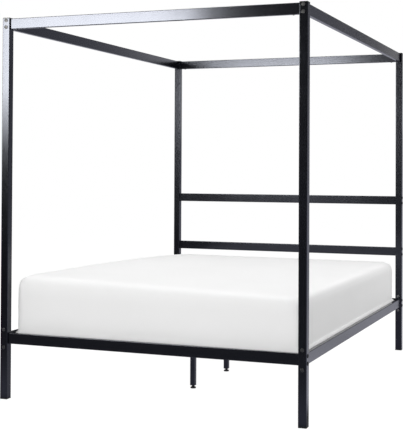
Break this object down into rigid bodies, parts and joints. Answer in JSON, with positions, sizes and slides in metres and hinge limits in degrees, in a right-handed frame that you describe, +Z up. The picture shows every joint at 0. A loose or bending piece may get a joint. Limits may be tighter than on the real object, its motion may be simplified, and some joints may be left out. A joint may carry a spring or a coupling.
{
  "type": "four poster canopy bed",
  "caption": "Four poster canopy bed: square black steel posts carry a flat canopy ring, a slatted frame with levelled centre legs, an open headboard and a soft white mattress.",
  "frame": {"origin": "on the floor, under the middle of the bed", "axes": "+X towards the right side seen from the foot, +Y from the foot to the headboard, +Z up"},
  "size_m": [1.5056, 2.1356, 1.805],
  "materials": {
    "frame_black": "satin black powder coat",
    "plastic_black": "moulded black plastic",
    "holder_black": "moulded black plastic, fine texture",
    "pad_plastic": "moulded black plastic pad on a steel stud",
    "slat_wood": "clear lacquered plywood",
    "bolt_black": "black oxide",
    "zinc_steel": "zinc plated",
    "mattress_fabric": "smooth white knitted ticking"
  },
  "bodies": {
    "frame": {"post_foot_left": "frame_black", "post_foot_right": "frame_black", "post_head_left": "frame_black", "post_head_right": "frame_black", "post_top_caps": "plastic_black", "post_shoes": "plastic_black", "canopy_rail_foot": "frame_black", "canopy_rail_head": "frame_black", "canopy_rail_left": "frame_black", "canopy_rail_right": "frame_black", "canopy_end_plates": "zinc_steel", "canopy_spigots": "frame_black", "spigot_screws": "bolt_black", "foot_rail": "frame_black", "head_rail": "frame_black", "headboard_bar_lower": "frame_black", "headboard_bar_upper": "frame_black", "rail_end_plates": "zinc_steel", "side_rail_left": "frame_black", "side_rail_right": "frame_black", "side_rail_plates": "frame_black", "weld_nuts": "zinc_steel", "slat_ledge_left": "frame_black", "slat_ledge_right": "frame_black", "slat_holders_left": "holder_black", "slat_holders_right": "holder_black", "slat_holders_centre": "holder_black", "slats_left": "slat_wood", "slats_right": "slat_wood", "centre_beam": "frame_black", "beam_brackets": "frame_black", "bracket_screws": "zinc_steel", "centre_leg_foot": "frame_black", "centre_leg_middle": "frame_black", "centre_leg_head": "frame_black", "leg_top_plates": "frame_black", "leg_bolts": "zinc_steel", "leg_end_plugs": "plastic_black", "lock_nuts": "bolt_black", "frame_bolts": "bolt_black"},
    "mattress_body": {"mattress": "mattress_fabric"},
    "foot_front": {"level_foot_foot": "pad_plastic"},
    "foot_mid": {"level_foot_middle": "pad_plastic"},
    "foot_rear": {"level_foot_head": "pad_plastic"}
  },
  "joints": [
    {"name": "mattress_lift", "type": "slide", "parent": "frame", "child": "mattress_body", "axis": [0, 0, 1], "range_m": [0, 0.3]},
    {"name": "level_front", "type": "slide", "parent": "frame", "child": "foot_front", "axis": [0, 0, 1], "range_m": [-0.015, 0.0015]},
    {"name": "level_middle", "type": "slide", "parent": "frame", "child": "foot_mid", "axis": [0, 0, 1], "range_m": [-0.015, 0.0015]},
    {"name": "level_rear", "type": "slide", "parent": "frame", "child": "foot_rear", "axis": [0, 0, 1], "range_m": [-0.015, 0.0015]}
  ]
}
